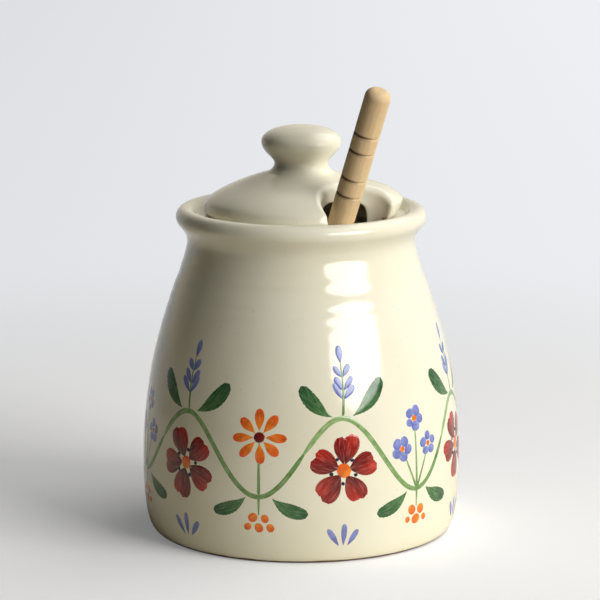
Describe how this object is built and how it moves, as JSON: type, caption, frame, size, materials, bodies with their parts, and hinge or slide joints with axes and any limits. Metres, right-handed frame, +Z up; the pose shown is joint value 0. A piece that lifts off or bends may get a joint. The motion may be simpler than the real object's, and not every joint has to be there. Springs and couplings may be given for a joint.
{
  "type": "honey pot with lid and dipper",
  "caption": "Round-bellied glazed pottery honey pot with a rolled rim, an inset domed lid with a knob and a dipper notch, and a leaning wooden honey dipper.",
  "frame": {"origin": "centre of the foot ring, on the surface the pot stands on", "axes": "+Z up along the pot's axis, -Y towards the front that the picture shows, +X to its right"},
  "size_m": [0.101, 0.101, 0.1454],
  "materials": {
    "pot_glaze": "glossy cream glaze over stoneware, hand-painted floral band, bare clay under the foot",
    "lid_glaze": "glossy cream glaze",
    "dipper_wood": "bare fine-grained beech, sanded, with scorched rings"
  },
  "bodies": {
    "pot": {"pot": "pot_glaze"},
    "lid": {"lid": "lid_glaze", "knob": "lid_glaze"},
    "dipper": {"dipper_handle": "dipper_wood", "dipper_head": "dipper_wood"}
  },
  "joints": [
    {"name": "lid_lift", "type": "slide", "parent": "pot", "child": "lid", "axis": [0, 0, 1], "range_m": [0, 0.08]},
    {"name": "dipper_draw", "type": "slide", "parent": "pot", "child": "dipper", "axis": [0.2507, -0.2784, 0.9272], "range_m": [0, 0.05]}
  ]
}
